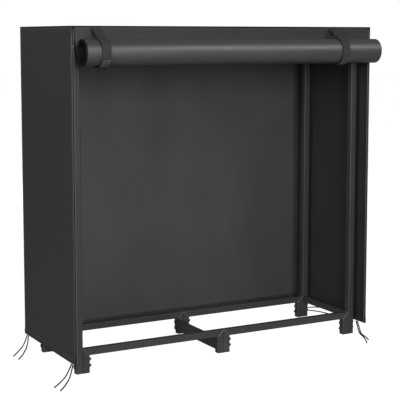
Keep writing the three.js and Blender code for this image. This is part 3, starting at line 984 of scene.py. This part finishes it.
def mitre_outline(centre, sign):
    """The rounded square where the two tubes meet, in the plane that halves their corner."""
    reach = TUBE / 2 - CORNER
    points = []
    for quarter, (a, b) in enumerate(((1, 1), (-1, 1), (-1, -1), (1, -1))):
        for step in range(5):
            angle = math.pi / 2 * (quarter + step / 4)
            along_y = a * reach + CORNER * math.cos(angle)
            along_mitre = b * reach + CORNER * math.sin(angle)
            points.append(centre + Vector((sign * along_mitre, along_y, along_mitre)))
    outline = []
    for i, point in enumerate(points):
        following = points[(i + 1) % len(points)]
        cells = max(1, round((following - point).length / 0.0007))
        outline += straight(point, following, cells)[:-1]
    return outline


def bead_width(distance):
    return BEAD * (1 + 0.22 * math.sin(2 * math.pi * distance / 0.0030))


beads = []
for row in ("front", "rear"):
    for end in ("left", "right"):
        low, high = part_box(f"base_frame_{row}_{end}")
        y = (low[1] + high[1]) / 2
        for name, x, sign in (("a", low[0] + TUBE / 2, -1), ("b", high[0] - TUBE / 2, 1)):
            outline = mitre_outline(Vector((x, y, RAIL_AXIS)), sign)
            bead = tube(f"weld_{row}_{end}_{name}", outline, bead_width, sides=6, closed=True)
            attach(bead, "frame")
            beads.append(bead)
print("weld beads", len(beads))

# %% [markdown]
# ## Finishes
# Four effects are used by more than one finish, so each is a node group: a woven cloth, a soft
# mottling, a fine grain and the dust that settles low down. A group gives only values, and each
# finish keeps its own shader.


# %% Helpers for nodes
def feed(tree, node, values):
    """Sets the node's inputs. Each value is a number, a colour or the output of another node."""
    for label, value in values.items():
        if isinstance(value, bpy.types.NodeSocket):
            tree.links.new(value, node.inputs[label])
        else:
            node.inputs[label].default_value = value


def add_node(tree, kind, values=None):
    node = tree.nodes.new("ShaderNode" + kind)
    feed(tree, node, values or {})
    return node


def maths(tree, operation, *values, clamp=False):
    node = add_node(tree, "Math", dict(enumerate(values)))
    node.operation = operation
    node.use_clamp = clamp
    return node.outputs[0]


def noise_value(tree, place, scale, detail=3.0, roughness=0.55):
    values = {"Vector": place, "Scale": scale, "Detail": detail, "Roughness": roughness}
    return add_node(tree, "TexNoise", values).outputs["Fac"]


def colour_mix(tree, first, second, factor):
    """Goes from the first colour to the second as the factor rises."""
    node = add_node(tree, "Mix")
    node.data_type = "RGBA"
    feed(tree, node, {"A": first, "B": second, "Factor": factor})
    return node.outputs["Result"]


# %% Helpers for node groups
def new_group(name, setting, default, outputs):
    """A node group with a place and one setting, those two as sockets, and its output node."""
    group = bpy.data.node_groups.new(name, "ShaderNodeTree")
    group.interface.new_socket("Vector", in_out="INPUT", socket_type="NodeSocketVector")
    socket = group.interface.new_socket(setting, in_out="INPUT", socket_type="NodeSocketFloat")
    socket.default_value = default
    for label in outputs:
        group.interface.new_socket(label, in_out="OUTPUT", socket_type="NodeSocketFloat")
    start = group.nodes.new("NodeGroupInput")
    end = group.nodes.new("NodeGroupOutput")
    return group, start.outputs["Vector"], start.outputs[setting], end


def use_group(tree, group, place, values):
    """A node that runs the group at that place."""
    node = add_node(tree, "Group")
    node.node_tree = group
    feed(tree, node, {"Vector": place, **values})
    return node


def two_noises(name, output, scale, ratio, details, shares):
    """A node group that adds two noises. The scale of the second is the first one's times the ratio."""
    group, place, setting, end = new_group(name, "Scale", scale, [output])
    first = noise_value(group, place, setting, detail=details[0])
    second = noise_value(group, place, maths(group, "MULTIPLY", setting, ratio), detail=details[1])
    first_part = maths(group, "MULTIPLY", first, shares[0])
    second_part = maths(group, "MULTIPLY", second, shares[1])
    feed(group, end, {output: maths(group, "ADD", first_part, second_part, clamp=True)})
    return group


# %% Node groups for mottled shades and fine grain
mottle = two_noises("mottling", "Shade", 6.0, ratio=9.0, details=(4.0, 2.0), shares=(0.72, 0.28))
grain = two_noises("fine grain", "Height", 900.0, ratio=0.2, details=(2.0, 1.0), shares=(0.6, 0.4))
print("groups", mottle.name, "and", grain.name)

# %% Node group for woven threads
weave, place, threads, end = new_group("woven threads", "Threads", 1000.0, ["Height", "Painted gap shade"])
split = add_node(weave, "SeparateXYZ", {0: place})
turned = maths(weave, "MULTIPLY", threads, math.pi)
warp = maths(weave, "SINE", maths(weave, "MULTIPLY", split.outputs[0], turned))
weft = maths(weave, "SINE", maths(weave, "MULTIPLY", split.outputs[1], turned))
crossing = maths(weave, "MULTIPLY", warp, weft)
crown = maths(weave, "ABSOLUTE", crossing)
over = maths(weave, "MULTIPLY_ADD", crossing, 0.18, 0.18)
height = maths(weave, "ADD", maths(weave, "MULTIPLY", crown, 0.64), over, clamp=True)
# The gaps between the threads are painted darker here, as shade.
painted_gap_shade = maths(weave, "SUBTRACT", 1.0, maths(weave, "MULTIPLY", crown, 4.0, clamp=True), clamp=True)
feed(weave, end, {"Height": height, "Painted gap shade": painted_gap_shade})
print("group", weave.name)

# %% Node group for dust
dust, place, reach, end = new_group("settled dust", "Reach", 0.25, ["Amount"])
split = add_node(dust, "SeparateXYZ", {0: place})
low_down = maths(dust, "SUBTRACT", 1.0, maths(dust, "DIVIDE", split.outputs[2], reach), clamp=True)
patches = noise_value(dust, place, 22.0, detail=5.0, roughness=0.65)
above = maths(dust, "SUBTRACT", patches, 0.38, clamp=True)
patchy = maths(dust, "MULTIPLY", above, 2.6, clamp=True)
feed(dust, end, {"Amount": maths(dust, "MULTIPLY", low_down, patchy)})
print("group", dust.name)


# %% A finish from its nodes
def finish_of(name, dark, light, rough, scale=6.0, metallic=0.0, sheen=0.0, coat=0.0, specular=0.5):
    """A material with a mottled colour between dark and light. rough is (least, most)."""
    material = bpy.data.materials.new(name)
    material.use_nodes = True
    tree = material.node_tree
    place = add_node(tree, "TexCoord")
    shade = use_group(tree, mottle, place.outputs["Object"], {"Scale": scale}).outputs["Shade"]
    base = colour_mix(tree, (*dark, 1), (*light, 1), shade)
    spread = add_node(tree, "MapRange", {"Value": shade, "From Min": 0.25, "From Max": 0.75})
    feed(tree, spread, {"To Min": rough[0], "To Max": rough[1]})
    bump = add_node(tree, "Bump", {"Strength": 0.4, "Distance": 0.0003})
    shader = tree.nodes["Principled BSDF"]
    settings = {
        "Base Color": base,
        "Roughness": spread.outputs["Result"],
        "Normal": bump.outputs["Normal"],
        "Metallic": metallic,
        "Sheen Weight": sheen,
        "Sheen Roughness": 0.45,
        "Coat Weight": coat,
        "Coat Roughness": 0.35,
        "Specular IOR Level": specular,
    }
    feed(tree, shader, settings)
    nodes = {"place": place, "shade": shade, "base": base, "bump": bump, "shader": shader}
    return SimpleNamespace(material=material, tree=tree, **nodes)


# %% Layers that finishes share
def lay_over(finish, tint, amount, strength):
    """Lays the tint over the base colour where the amount is high."""
    factor = maths(finish.tree, "MULTIPLY", amount, strength)
    finish.base = colour_mix(finish.tree, finish.base, (*tint, 1), factor)
    feed(finish.tree, finish.shader, {"Base Color": finish.base})


def add_dust(finish, reach, tint, strength):
    """Dust over the base colour, from the floor up to that height."""
    settled = use_group(finish.tree, dust, finish.place.outputs["Object"], {"Reach": reach})
    lay_over(finish, tint, settled.outputs["Amount"], strength)


def add_grain(finish, scale, strength=0.4, depth=0.0003):
    texture = use_group(finish.tree, grain, finish.place.outputs["Object"], {"Scale": scale})
    height = texture.outputs["Height"]
    feed(finish.tree, finish.bump, {"Height": height, "Strength": strength, "Distance": depth})


def raise_shades(finish):
    """The mottling that colours the finish lifts it too."""
    feed(finish.tree, finish.bump, {"Height": finish.shade})


# %% Woven finish
def woven_finish(name, dark, light, rough, threads, depth, specular=0.5):
    """Cloth: the weave follows the piece's UV map, which is in metres."""
    finish = finish_of(name, dark, light, rough, specular=specular)
    cloth = use_group(finish.tree, weave, finish.place.outputs["UV"], {"Threads": threads})
    feed(finish.tree, finish.bump, {"Height": cloth.outputs["Height"], "Distance": depth})
    # Painted shade: the gaps between the threads are darkened.
    lay_over(finish, [channel * 0.35 for channel in dark], cloth.outputs["Painted gap shade"], 0.7)
    return finish


# %% Herringbone for the webbing
TWILL_BAND = STRAP_WIDTH / 4
TWILL_PITCH = 0.0088


def add_herringbone(finish, tint, strength):
    """Twill lines that run up and down in turn across the band, as in heavy webbing."""
    tree = finish.tree
    split = add_node(tree, "SeparateXYZ", {0: finish.place.outputs["UV"]})
    zigzag = maths(tree, "PINGPONG", split.outputs[0], TWILL_BAND)
    slanted = maths(tree, "ADD", split.outputs[1], maths(tree, "MULTIPLY", zigzag, 1.5))
    line = maths(tree, "SINE", maths(tree, "MULTIPLY", slanted, 2 * math.pi / TWILL_PITCH))
    lay_over(finish, tint, maths(tree, "MULTIPLY_ADD", line, 0.5, 0.5), strength)


# %% [markdown]
# The cover is black polyester cloth with a coating, so it is dark, even and slightly glossy, with a
# plain weave of about 0.6 mm threads. Inside, the back and the top are painted lighter, partly for
# the cloth's inner side and partly as painted light on the lit inside; the shaded side walls keep
# the darker cloth. The webbing is coarser and duller, with a herringbone. The steel is powder coated:
# a satin dark grey with a faint orange-peel texture. Feet are moulded plastic, and the bolts and
# sliders are black zinc.

# %% Cloth, webbing and cord
cover_cloth = woven_finish(
    "coated cover cloth", (0.018, 0.018, 0.0172), (0.026, 0.026, 0.0248), (0.44, 0.58), 1500, 0.00010, 0.30
)
add_dust(cover_cloth, 0.25, (0.10, 0.095, 0.085), 0.03)
roll_cloth = woven_finish(
    "coated door cloth", (0.019, 0.019, 0.0189), (0.027, 0.027, 0.0268), (0.40, 0.50), 1500, 0.00008, 0.90
)
# Partly the cloth's inner side, partly painted light: a lighter cloth for the lit inside of the back and the
# top.
lining_painted_lit = woven_finish(
    "inner side of the cloth, painted lighter as lit", (0.036, 0.036, 0.0355), (0.050, 0.050, 0.049), (0.42, 0.56),
    1500, 0.00010, 0.40
)
webbing = woven_finish(
    "ribbed webbing", (0.030, 0.030, 0.0294), (0.068, 0.068, 0.0664), (0.62, 0.85), 620, 0.00025, 0.2
)
add_herringbone(webbing, (0.003, 0.003, 0.003), 0.92)
# Near-black zip tape; on the rolled door edges it is also painted shade, which darkens the ends of the roll.
zip_tape_and_painted_roll_end_shade = woven_finish(
    "zip tape, painted shade on the roll ends", (0.003, 0.003, 0.003), (0.006, 0.006, 0.0058), (0.50, 0.66), 1400, 0.00008, 0.15
)
# Partly painted highlight: the cover's teeth are grey for the light line down the front edges, while the
# door's half of the same zip is near black.
teeth = finish_of(
    "moulded zip teeth with painted highlight", (0.060, 0.060, 0.058), (0.105, 0.105, 0.102), (0.28, 0.40), 120, specular=0.6
)
raise_shades(teeth)
piping_cloth = woven_finish(
    "piping cloth", (0.014, 0.014, 0.0135), (0.026, 0.026, 0.025), (0.40, 0.55), 1500, 0.00008
)
# Painted shade: the top piping is the same cord as the corner piping, painted near black for the dark line
# of shade along the top edge.
top_piping_painted_shade = woven_finish(
    "top piping painted black as shade", (0.003, 0.003, 0.003), (0.007, 0.007, 0.0068), (0.60, 0.75), 1300, 0.00010, 0.15
)
# Painted shade: a near-black cloth for the faces of the roll that face its axis, which darkens its hollow.
roll_hollow_painted_shade = woven_finish(
    "painted shade in the roll's hollow", (0.005, 0.005, 0.005), (0.010, 0.010, 0.0098), (0.50, 0.62), 1500, 0.00008, 0.2
)
braid = woven_finish(
    "braided drawcord", (0.0025, 0.0025, 0.0025), (0.006, 0.006, 0.0058), (0.65, 0.85), 900, 0.00020, 0.15
)
thread = finish_of(
    "stitching thread", (0.050, 0.050, 0.048), (0.100, 0.100, 0.096), (0.45, 0.60), 90, sheen=0.2
)
raise_shades(thread)
print("soft finishes ready")

# %% Steel, weld, bolts, feet and sliders
powder = finish_of(
    "powder coated steel", (0.022, 0.022, 0.0216), (0.031, 0.031, 0.0302), (0.36, 0.50),
    coat=0.05, specular=0.4,
)
add_grain(powder, 1100, strength=0.22, depth=0.0002)
add_dust(powder, 0.10, (0.11, 0.10, 0.09), 0.22)
# Painted highlight: the beads are under the same powder coat, painted lighter for the light lines along the
# mitres.
weld = finish_of(
    "weld bead with painted highlight", (0.075, 0.075, 0.074), (0.140, 0.140, 0.137), (0.28, 0.42), 70, coat=0.2
)
raise_shades(weld)
black_zinc = finish_of(
    "black zinc", (0.030, 0.030, 0.031), (0.090, 0.088, 0.085), (0.26, 0.42), 60, metallic=0.85
)
add_grain(black_zinc, 2200, strength=0.15)
plastic = finish_of("moulded black plastic", (0.010, 0.010, 0.010), (0.020, 0.020, 0.0195), (0.42, 0.58))
add_grain(plastic, 1500)
add_dust(plastic, 0.02, (0.12, 0.11, 0.10), 0.4)
print("materials", [material.name for material in bpy.data.materials])


# %% Give each piece its finish
def wear(piece, finish):
    if not piece.material_slots:
        piece.data.materials.append(finish.material)
    for slot in piece.material_slots:
        slot.material = finish.material


def line_with(piece, finish, is_inner):
    """Gives a second finish to the faces that pass the test."""
    piece.data.materials.append(finish.material)
    for face in piece.data.polygons:
        if is_inner(face):
            face.material_index = 1


def towards_axis(face):
    from_axis = Vector((0, face.center.y - ROLL_Y, face.center.z - ROLL_Z))
    return face.normal.dot(from_axis) < 0


pieces_by_finish = [
    (cover_cloth, [left, right, back, top, hem, sheet]),
    (roll_cloth, [roll]),
    # The top piping is painted near black as shade.
    (top_piping_painted_shade, pipings[:1]),
    (piping_cloth, pipings[1:]),
    (webbing, legs.values()),
    # On the rolled edges this near-black finish is painted shade on the ends of the roll.
    (zip_tape_and_painted_roll_end_shade, tapes[0::2] + rolled_edges + hanging_edges),
    # The grey teeth carry a painted highlight.
    (teeth, tapes[1::2]),
    (braid, cords),
    (thread, stitching + strap_stitching),
    (black_zinc, bolts + sliders),
    (weld, beads),
]
for finish, pieces in pieces_by_finish:
    for piece in pieces:
        wear(piece, finish)
# The inner faces of the back and the top get the lighter cloth as painted light; the shaded side walls keep
# the darker cloth.
line_with(back, lining_painted_lit, lambda face: face.normal.y < -0.5)
line_with(top, lining_painted_lit, lambda face: face.normal.z < -0.5)
# Painted shade in the hollow of the roll: its faces towards the axis are near black.
line_with(roll, roll_hollow_painted_shade, towards_axis)
print("finishes on", sum(len(pieces) for finish, pieces in pieces_by_finish), "pieces")

# %% Give the CAD nodes that stay their finish
STEEL_NODES = ("post_", "top_rail_", "base_frame_", "bottom_crossbar_", "top_crossbar_", "centre_plate")
for name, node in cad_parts.items():
    if name.startswith(STEEL_NODES):
        wear(node, powder)
    elif name.startswith("foot_"):
        wear(node, plastic)
print("finishes on the steel and the feet too")

# %% [markdown]
# ## Studio
# A pale floor and a white surround, with large round soft lights. The key light stands in front, low
# enough for the roll to get its long highlight. One high at the right and one at the left keep the
# cover's left side darker than its front, and a low one behind shows the rear.
# The surround and the floor look white, but light the rack only weakly, or the black cloth would
# reflect them and look grey. The Light Path node tells the two uses apart.

# %% Floor
FLOOR_BOUNCE = (0.35, 0.35, 0.35, 1)
FLOOR_SEEN = (0.25, 0.25, 0.25, 1)
FLOOR_GLOW = 0.92
bpy.ops.mesh.primitive_plane_add(size=60, location=(0, 0, 0))
floor = bpy.context.object
floor.name = "floor"
paint = bpy.data.materials.new("pale floor")
paint.use_nodes = True
tree = paint.node_tree
seen = add_node(tree, "LightPath").outputs["Is Camera Ray"]
settings = {
    "Base Color": colour_mix(tree, FLOOR_BOUNCE, FLOOR_SEEN, seen),
    "Emission Strength": maths(tree, "MULTIPLY", seen, FLOOR_GLOW),
    "Emission Color": (1, 1, 1, 1),
    "Roughness": 0.85,
    "Specular IOR Level": 0.1,
}
feed(tree, tree.nodes["Principled BSDF"], settings)
floor.data.materials.append(paint)
print("floor glows at", FLOOR_GLOW)

# %% Surround
SURROUND_LIGHT = 0.27
world = bpy.data.worlds.new("white surround")
world.use_nodes = True
tree = world.node_tree
seen = add_node(tree, "LightPath").outputs["Is Camera Ray"]
strength = add_node(tree, "MapRange", {"Value": seen, "To Min": SURROUND_LIGHT}).outputs["Result"]
feed(tree, tree.nodes["Background"], {"Strength": strength, "Color": (1, 1, 1, 1)})
bpy.context.scene.world = world
print("surround lights the rack at", SURROUND_LIGHT)


# %% Lights
def soft_light(name, place, target, size, energy):
    data = bpy.data.lights.new(name, "AREA")
    data.shape = "DISK"
    data.size = size
    data.energy = energy
    light = bpy.data.objects.new(name, data)
    bpy.context.collection.objects.link(light)
    light.location = place
    light.rotation_euler = (Vector(target) - Vector(place)).to_track_quat("-Z", "Y").to_euler()
    print(f"light {name}: {energy} W")


soft_light("key", (-1.3, -5.0, 1.6), (0, 0, 0.6), 2.0, 205)
soft_light("high right", (2.2, -3.2, 3.4), (0, 0, 0.6), 1.8, 55)
soft_light("left", (-4.4, -2.4, 1.9), (0, 0, 0.6), 2.0, 140)
soft_light("rear", (2.4, 4.8, 0.9), (0, 0, 0.6), 1.8, 90)
